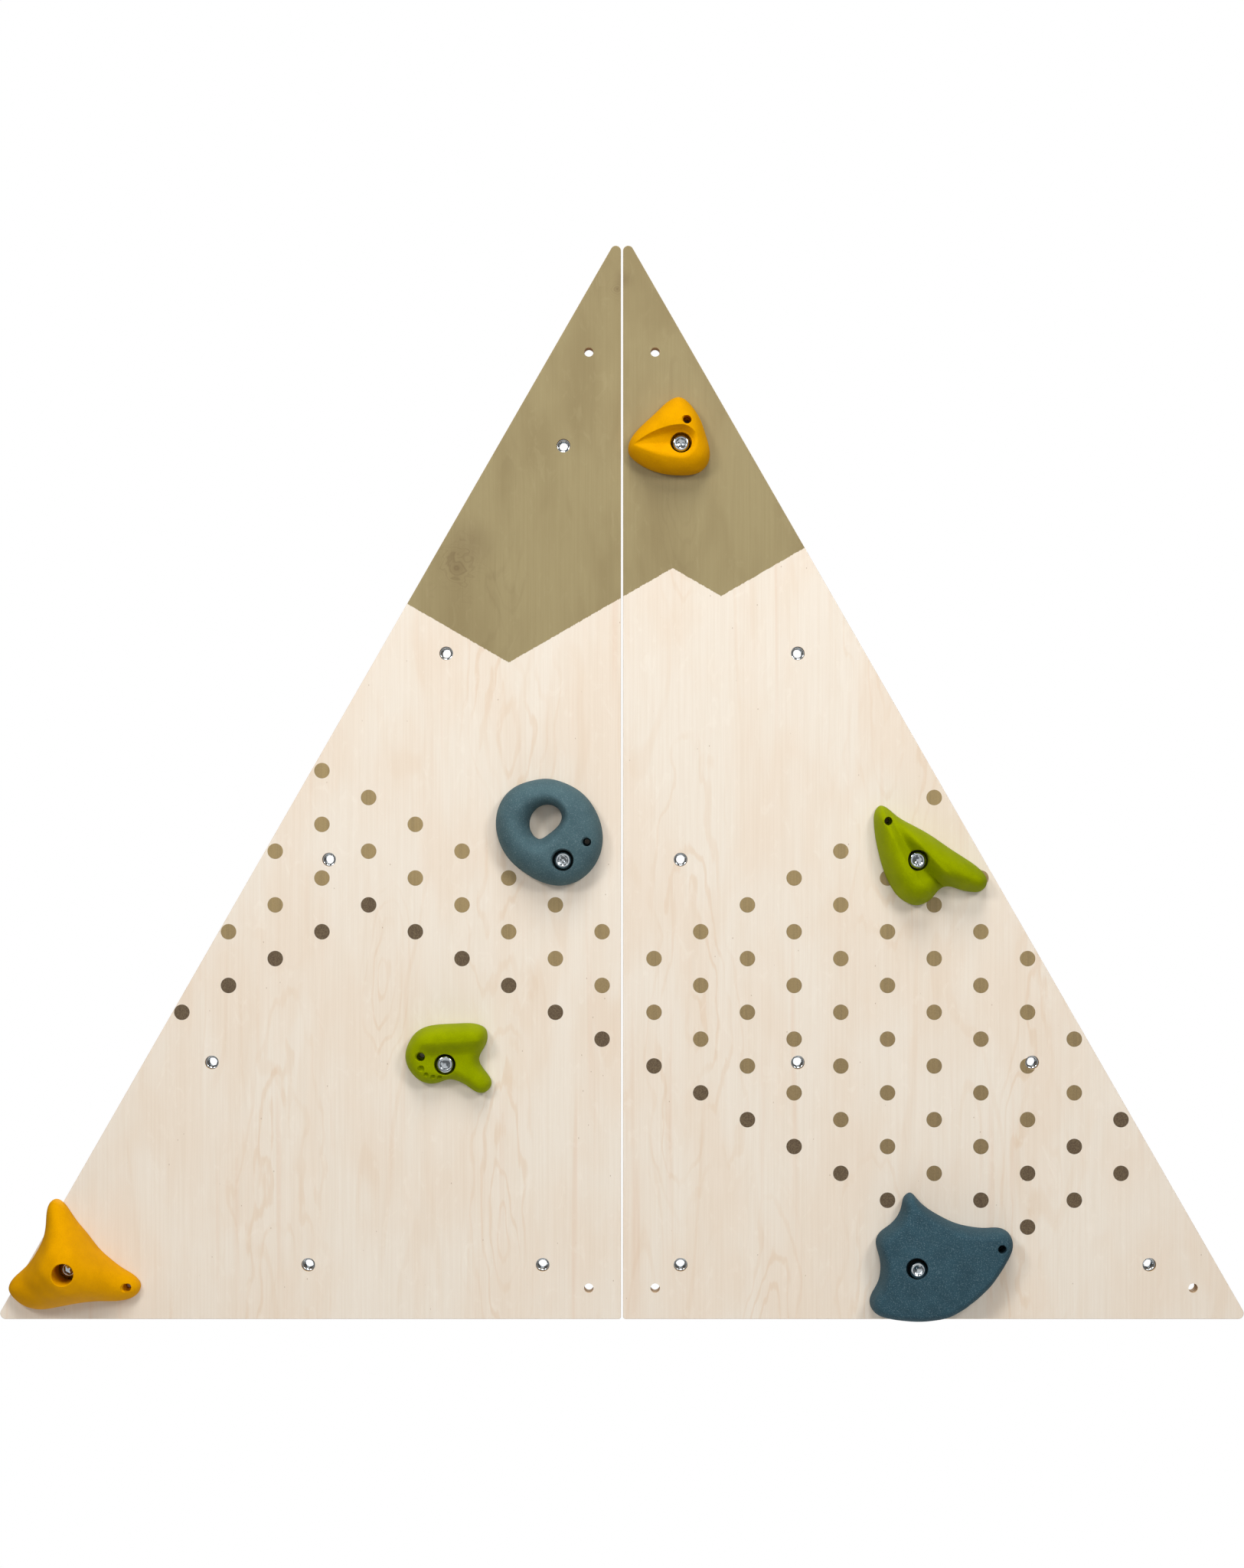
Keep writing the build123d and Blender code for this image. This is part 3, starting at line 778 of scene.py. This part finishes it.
def nut_shape(free, pitch):
    """A pronged T-nut about its axis, heights out from the panel's back face: one closed profile carried
    round, its flange notched where the four prongs were punched from it. A free nut's bore has its thread."""
    bore_radius, prong_radius, notch_depth, thread_depth = 4.5, 9.2, 2.5, 0.62
    bore = [(bore_radius, h) for h in np.linspace(10.5, 0.35, 84 if free else 3)]
    outer = [
        (4.75, 0.0), (6.2, 0.0), (7.4, 0.0), (9.3, 0.0), (11.6, 0.0), (11.92, 0.2), (12.0, 0.5), (12.0, 1.05),
        (11.8, 1.35), (11.4, 1.4), (9.2, 1.4), (7.4, 1.4), (6.5, 1.45), (6.12, 1.65), (6.0, 2.1), (6.0, 6.0),
        (6.0, 9.7), (6.12, 10.2), (6.4, 10.6), (6.5, 10.9), (6.48, 11.25), (6.3, 11.45), (6.0, 11.5),
        (5.75, 11.47), (5.35, 11.3), (4.95, 10.95), (4.7, 10.7),
    ]

    def radius_at(angle, radius, height):
        """Notches pull the rim in, and the thread moves the bore in and out."""
        off = np.abs(angle / TURN * 4 % 1.0 - 0.5) * TURN / 4 * 12  # round the rim, from the nearest notch
        notch = smooth((3.3 - off) / 0.8)
        rim = smooth((radius - 8.8) / 2.4) * (height < 1.5)
        ridge = thread(angle, height, pitch) - 0.45
        cut = (np.abs(radius - bore_radius) < 0.01) * smooth((height - 0.3) / 0.8) * smooth((10.7 - height) / 0.8)
        return radius - notch_depth * notch * rim - (thread_depth * ridge * cut if free else 0)

    parts = [shell(turned(outer + bore, 96, radius_at))]
    # a prong is a blade that narrows towards its point
    level = np.linspace(1.2, 8.3, 7)[:, None]
    half = 2.5 - 2.2 * (level - 1.2) / 7.1
    corners = np.array([
        [-1, -0.5], [-0.8, -0.6], [0.8, -0.6], [1, -0.5], [1, 0.5], [0.8, 0.6], [-0.8, 0.6], [-1, 0.5]
    ])
    across, out = half * corners[None, :, 0], prong_radius + corners[None, :, 1] + 0 * half
    blade = np.stack([across, out, level + 0 * across], -1)
    for k in range(4):
        parts.append(shell(spun(blade, math.radians(90 * k)), joined=False))
    points, faces = together(parts)
    return spun(points, math.radians(45)) - (0, 0, THICKNESS / MM), faces


def bolt_shape(tip, top, spin, pitch):
    """A socket-head bolt about its axis, from its tip to its head's top: a profile carried round, whose shank
    has a thread, whose head has fine flutes and whose socket turns from a circle into a hexagon."""
    under = top - 10.0  # the head is 10 mm high
    in_nut = -3.4  # the shank is slimmer inside the nut
    half_flats = 4.0  # half the socket's width across its flats
    head, cut_shank = 8.0, 4.4  # radii of the head, and of the part of the shank that gets its thread below
    shank = [(cut_shank, h) for h in np.arange(tip + 0.9, under - 1.6, 0.25)]
    arc = [(5.4 + 2.6 * math.sin(a), top - 1.5 + 1.5 * math.cos(a)) for a in np.radians(np.linspace(90, 0, 11))]
    profile = [(1.6, tip), (3.5, tip), (4.0, tip + 0.45)] + shank
    profile += [(4.98, under - 1.5), (4.98, under), (6.5, under), (7.7, under), (head, under + 0.3)]
    profile += [(head, h) for h in np.linspace(under + 1.0, top - 2.2, 5)] + [(head, top - 1.8)] + arc
    profile += [(5.15, top - 0.02), (4.98, top - 0.1)]
    socket = [(top - 0.5, 1.0), (top - 0.6, 1.0), (top - 2.5, 1.0), (top - 4.7, 1.0), (top - 5.0, 0.985)]
    profile += [(-share, h) for h, share in socket]  # a radius below 0 is a share of the hexagon
    profile += [(3.2, top - 5.15), (1.6, top - 5.7), (0.5, top - 6.0)]

    def radius_at(angle, radius, height):
        """Thread on the shank, flutes on the head's side, hexagon in the socket."""
        corner = half_flats / np.cos((angle + math.pi / 6) % (math.pi / 3) - math.pi / 6)
        on_shank = np.abs(radius - cut_shank) < 0.001
        crest = np.where(height < in_nut, 4.44, 4.96)
        threaded = crest - 0.6 * (1 - thread(angle, height, pitch))
        flutes = (radius > head - 0.001) * (height < top - 2.0) * (height > under + 0.8)
        fluted = radius - 0.13 * flutes * (0.5 + 0.5 * np.cos(36 * angle))
        return np.where(radius < 0, -radius * corner, np.where(on_shank, threaded, fluted))

    points, faces = shell(turned(profile, 144, radius_at), joined=False)
    return spun(points, spin), faces


def dot_places():
    """{(side, dark): [(x, height), ...]} of the printed dots, in millimetres from the seam and the bottom
    edge. They stand in upright columns, every other row, and each column has its own first and last row."""
    column_step, row_step, lowest_row = 45.05, 25.9, 88.9
    places = {(side, dark): [] for side in ("left", "right") for dark in (False, True)}
    for side, first, columns in (("right", 30.9, 11), ("left", 19.2, 10)):
        for k in range(columns):
            if side == "right":
                low, high = min(abs(6 - k), abs(8 - k)), min(10 + k, 34 - 3 * k)
            else:
                low, high = 12 - abs(5 - k), min(11 + k, 35 - 3 * k)
            for n in range(low, high + 1, 2):
                lowest = n == low or (side == "right" and (k, n) in ((8, 2), (9, 3), (10, 4)))
                x = (first + column_step * k) * (1 if side == "right" else -1)
                places[side, lowest].append((x, lowest_row + row_step * n))
    return places


# ---------------------------------------------------------------------------------------------------------
# Settings


def length_property(name, description, metres):
    """A length that a user may change."""
    return FloatProperty(name=name, description=description, default=metres, min=0.0, unit="LENGTH")


def power_property(name, description, watts):
    """A light's power that a user may change."""
    return FloatProperty(name=name, description=description, default=watts, min=0.0, unit="POWER")


def share_property(name, description, share):
    """A share that a user may change."""
    return FloatProperty(name=name, description=description, default=share, min=0.0, max=1.0, subtype="FACTOR")


def colour_property(name, description, hex_colour):
    """A colour that a user may change, whose default is an sRGB hex."""
    return FloatVectorProperty(
        name=name, description=description, subtype="COLOR", size=4, min=0.0, max=1.0, default=linear(hex_colour)
    )


class ClimbingWallSizes(bpy.types.PropertyGroup):
    """Sizes of the details."""

    dot_diameter: length_property("Dot diameter", "Across one printed dot", 0.015)
    ink_thickness: length_property("Ink thickness", "How far the ink stands off the wood", 0.00006)
    thread_pitch: length_property("Thread pitch", "Between two turns of the M10 thread", 0.0015)
    pin_chamfer: length_property("Screw hole rim", "How deep the rim of a hold's screw hole is broken", 0.0006)
    # scales the rubbed wear and the painted highlight on the holds' edges together
    edge_wear: share_property("Edge wear", "How worn the holds' edges are", 1.0)


class ClimbingWallColours(bpy.types.PropertyGroup):
    """Colours of the finishes."""

    wood_pale: colour_property("Pale wood", "Lightest wood of the veneer", "#EADFD0")
    wood_warm: colour_property("Warm wood", "Pinkish blotches of the veneer", "#E8D9C7")
    cap_light: colour_property("Cap, light", "Lightest stain of the cap", "#9B8C64")
    cap_dark: colour_property("Cap, dark", "Darkest stain of the cap", "#8E7E57")
    ink_high: colour_property("Dots, high", "Ink of the topmost dots", "#9E8759")
    ink_low: colour_property("Dots, low", "Ink of the lower dots", "#7E6945")
    ink_dark: colour_property("Dots, lowest", "Ink of the lowest dot of each column", "#4F3C28")
    yellow: colour_property("Yellow holds", "Resin of the yellow holds", "#DC9A00")
    slate: colour_property("Slate ring", "Resin of the slate blue ring", "#496268")
    # a darker copy of the slate ring's resin, used for the fin
    navy: colour_property("Slate fin", "Resin of the darker slate fin", "#324D58")
    green: colour_property("Green holds", "Resin of the green holds", "#8B9700")
    zinc: colour_property("Zinc", "Plating of the bolts and T-nuts", "#C6CBCE")


class ClimbingWallStage(bpy.types.PropertyGroup):
    """The light and the floor."""

    floor_drop: length_property("Floor drop", "From the panels' bottom edge down to the floor", 0.90)
    floor_reach: length_property("Floor reach", "From the middle of the floor to its sides", 1.5)
    key_power: power_property("Main lights", "Power of each side light", 25.5)
    top_power: power_property("Top light", "Power of the light above", 72.0)
    fill_power: power_property("Front light", "Power of the wide front light", 15.0)
    back_power: power_property("Back light", "Power of the light behind", 62.0)
    sky: share_property("Sky", "Strength of the even light from all round", 0.18)


# ---------------------------------------------------------------------------------------------------------
# Operators


class CLIMBINGWALL_OT_panels(bpy.types.Operator):
    """Finishes the two plywood panels, whose shape is the frame's own"""

    bl_idname = "climbing_wall.panels"
    bl_label = "Plywood panels"

    def execute(self, context):
        wood = birch_plywood(context.scene.climbing_wall_colours)
        for side in ("left", "right"):
            dress(frame["nodes"]["panel_" + side].data, wood)
        return {"FINISHED"}


class CLIMBINGWALL_OT_dots(bpy.types.Operator):
    """Prints the dots on the panels"""

    bl_idname = "climbing_wall.dots"
    bl_label = "Printed dots"

    def execute(self, context):
        sizes, colours = context.scene.climbing_wall_sizes, context.scene.climbing_wall_colours
        inks = {
            False: screen_ink("screen_ink_olive", colours.ink_low, colours.ink_high),
            True: screen_ink("screen_ink_brown", colours.ink_dark, colours.ink_dark),
        }
        radius, thick = sizes.dot_diameter / 2 / MM, sizes.ink_thickness / MM
        profile = [(radius, -0.02), (radius, 0.6 * thick), (radius - 0.06, thick), (radius - 0.6, thick)]
        disc = turned(profile, 44)
        for (side, dark), places in dot_places().items():
            shells = [shell(disc + (x, y + BOTTOM / MM, 0), joined=False) for x, y in places]
            points, faces = together(shells)
            name = f"dots_{'brown' if dark else 'olive'}_{side}"
            mesh = new_mesh(name, (on_wall(points, (0, 0)), faces))
            if name == "dots_olive_right":  # one dot is cut into by a T-nut's hole
                nut_hole = 6.6
                hole = turned([(nut_hole, -5), (nut_hole, 5)], 64)
                cutter = shell(on_wall(hole, centre_of("tnut_right_row2_col4")), joined=False)
                mesh = carve(mesh, new_mesh("hole", cutter))
            finish_piece(name, mesh, inks[dark], "wall")
        return {"FINISHED"}


class CLIMBINGWALL_OT_nuts(bpy.types.Operator):
    """Makes the eighteen T-nuts, threaded where no bolt is in them"""

    bl_idname = "climbing_wall.nuts"
    bl_label = "T-nuts"

    def execute(self, context):
        zinc = bright_zinc(context.scene.climbing_wall_colours)
        pitch = context.scene.climbing_wall_sizes.thread_pitch / MM
        bolted = [centre_of("bolt_" + name) for name in HOLDS]
        nodes = sorted(n for n in frame["nodes"] if n.startswith("tnut_"))
        if len(nodes) != 18:
            raise RuntimeError(f"the frame has {len(nodes)} T-nuts, not 18")
        for node in nodes:
            at = centre_of(node)
            free = all(math.dist(at, b) > 0.01 for b in bolted)
            points, faces = nut_shape(free, pitch)
            mesh = new_mesh(node, (on_wall(points, at), faces))
            finish_piece(node.replace("tnut", "nut"), mesh, zinc, "wall", [node])
        return {"FINISHED"}


class CLIMBINGWALL_OT_bolts(bpy.types.Operator):
    """Makes the six socket-head bolts and finishes their washers"""

    bl_idname = "climbing_wall.bolts"
    bl_label = "Bolts and washers"

    def execute(self, context):
        zinc = bright_zinc(context.scene.climbing_wall_colours)
        # nearly black washers, partly as painted shade in the gap round the bolt heads
        black_as_shade = black_phosphate_as_shade()
        pitch = context.scene.climbing_wall_sizes.thread_pitch / MM
        for k, name in enumerate(HOLDS):
            node = "bolt_" + name
            low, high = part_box(node)
            tip, top = (FRONT - high.y) / MM, (FRONT - low.y) / MM
            points, faces = bolt_shape(tip, top, math.radians(11 + 37 * k), pitch)
            mesh = new_mesh(node, (on_wall(points, centre_of(node)), faces))
            body = frame["nodes"][node]["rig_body"]
            finish_piece("socket_" + node, mesh, zinc, body, [node], crease=30.0)
            # the washer's nearly black finish is partly painted shade round the bolt's head
            dress(frame["nodes"]["washer_" + name].data, black_as_shade)
        return {"FINISHED"}


class CLIMBINGWALL_OT_holds(bpy.types.Operator):
    """Casts the six resin holds"""

    bl_idname = "climbing_wall.holds"
    bl_label = "Resin holds"

    def execute(self, context):
        sizes, colours = context.scene.climbing_wall_sizes, context.scene.climbing_wall_colours
        # each resin: body colour, mottle colour, the pale colour of grit, rubbed wear and painted highlight, and
        # the specular tint
        resins = {
            "yellow": cast_resin("polyester_resin_yellow", colours.yellow, "#C98A00", "#ECB000", "#FFB400"),
            "slate": cast_resin("polyester_resin_slate", colours.slate, "#3D545B", "#90A2A8", "#A9C3CC"),
            # the fin's resin: a darker copy of the slate ring's
            "navy": cast_resin("polyester_resin_dark_slate", colours.navy, "#293F49", "#8298A0", "#9FC3D2"),
            "green": cast_resin("polyester_resin_green", colours.green, "#7A8700", "#A9B700", "#C2D200"),
        }
        for name, shape in HOLDS.items():
            node = "hold_" + name
            mesh = hold_mesh(name, shape, sizes)
            if not len(mesh.polygons):
                raise RuntimeError(f"{name} came out empty")
            colour = shape["colour"]
            body = frame["nodes"][node]["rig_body"]
            finish_piece("cast_" + node, mesh, resins[colour], body, [node])
        return {"FINISHED"}


class CLIMBINGWALL_OT_stage(bpy.types.Operator):
    """Sets the floor, the soft studio light and the camera"""

    bl_idname = "climbing_wall.stage"
    bl_label = "Floor, light and camera"

    def execute(self, context):
        scene, stage = context.scene, context.scene.climbing_wall_stage
        scene.view_settings.view_transform = "Standard"
        level = BOTTOM - stage.floor_drop
        reach = stage.floor_reach
        corners = [(-reach, -reach, level), (reach, -reach, level), (reach, reach, level), (-reach, reach, level)]
        mesh = bpy.data.meshes.new("floor")
        mesh.from_pydata(corners, [], [(0, 1, 2, 3)])
        floor = bpy.data.objects.new("floor", mesh)
        scene.collection.objects.link(floor)
        # the paint fades to nothing towards the floor's sides, so that they don't show
        paint, add, coords = blank("floor_white_paint")
        colour = add("mix", stretched(add, coords, (900, 900, 900), 2.0), "#F4F4F3", "#EFEFEE")
        faded = add("ShaderNodeMixShader", {
            0: add("ramp", add("distance", coords, (0, 0, level)), 0.65 * reach, 0.97 * reach),
            1: add("ShaderNodeBsdfPrincipled", {"Base Color": colour, "Roughness": 0.9}),
            2: add("ShaderNodeBsdfTransparent"),
        })
        add("ShaderNodeOutputMaterial", {0: faded})
        mesh.materials.append(paint)

        # white behind the wall, and a dimmer even light from all round
        world = bpy.data.worlds.new("studio")
        scene.world = world
        world.use_nodes = True
        world.node_tree.nodes.clear()
        add = partial(add_node, world.node_tree)
        seen = add("ShaderNodeLightPath")
        white = add("ShaderNodeBackground", {0: (1, 1, 1, 1), 1: 1.0})
        grey = add("ShaderNodeBackground", {0: (0.96, 0.98, 1.0, 1), 1: stage.sky})
        add("ShaderNodeOutputWorld", {0: add("ShaderNodeMixShader", {0: seen, 1: grey, 2: white})})

        lights = [
            ("front_left", (-1.5, -2.2, 1.7), 0.6, stage.key_power),
            ("front_right", (1.5, -2.2, 1.7), 0.6, stage.key_power),
            ("above", (0.0, -1.8, 3.4), 1.4, stage.top_power),
            ("front", (0.0, -3.0, 0.5), 2.8, stage.fill_power),
            ("behind", (0.0, 2.2, 2.0), 2.0, stage.back_power),
        ]
        for name, place, size, power in lights:
            lamp = bpy.data.lights.new(name, "AREA")
            lamp.size, lamp.energy = size, power
            holder = bpy.data.objects.new(name, lamp)
            holder.location = place
            holder.visible_camera = False
            aim = Vector((0.0, 0.0, 0.50)) - Vector(place)
            holder.rotation_euler = aim.to_track_quat("-Z", "Y").to_euler()
            scene.collection.objects.link(holder)

        # straight ahead of the wall's middle and level, so that upright lines stay upright
        camera = bpy.data.objects.new("camera", bpy.data.cameras.new("camera"))
        camera.data.lens, camera.data.sensor_width = 54.74, 36.0
        camera.location = (0.0, -2.315, 0.4863)
        camera.rotation_euler = (math.pi / 2, 0.0, 0.0)
        scene.collection.objects.link(camera)
        scene.camera = camera
        return {"FINISHED"}


class CLIMBINGWALL_PT_panel(bpy.types.Panel):
    """Lists the steps that build the wall"""

    bl_idname = "CLIMBINGWALL_PT_panel"
    bl_label = "Climbing wall"
    bl_space_type = "VIEW_3D"
    bl_region_type = "UI"
    bl_category = "Climbing wall"

    def draw(self, context):
        for group in GROUPS:
            settings = getattr(context.scene, group)
            box = self.layout.box()
            for name in settings.bl_rna.properties.keys():
                if name not in ("rna_type", "name"):
                    box.prop(settings, name)
        for step in STEPS:
            self.layout.operator(step.bl_idname)


STEPS = (
    CLIMBINGWALL_OT_stage,
    CLIMBINGWALL_OT_panels,
    CLIMBINGWALL_OT_dots,
    CLIMBINGWALL_OT_nuts,
    CLIMBINGWALL_OT_bolts,
    CLIMBINGWALL_OT_holds,
)
GROUPS = {
    "climbing_wall_sizes": ClimbingWallSizes,
    "climbing_wall_colours": ClimbingWallColours,
    "climbing_wall_stage": ClimbingWallStage,
}


def register():
    """Registers the settings, the operators and the panel."""
    for cls in (*GROUPS.values(), *STEPS, CLIMBINGWALL_PT_panel):
        bpy.utils.register_class(cls)
    for name, group in GROUPS.items():
        setattr(bpy.types.Scene, name, PointerProperty(type=group))


def unregister():
    """Takes away what register() added."""
    for name in GROUPS:
        delattr(bpy.types.Scene, name)
    for cls in reversed((*GROUPS.values(), *STEPS, CLIMBINGWALL_PT_panel)):
        bpy.utils.unregister_class(cls)


def main():
    register()
    bpy.ops.climbing_wall.stage()
    bpy.ops.climbing_wall.panels()
    bpy.ops.climbing_wall.dots()
    bpy.ops.climbing_wall.nuts()
    bpy.ops.climbing_wall.bolts()
    bpy.ops.climbing_wall.holds()


if __name__ == "__main__":
    main()
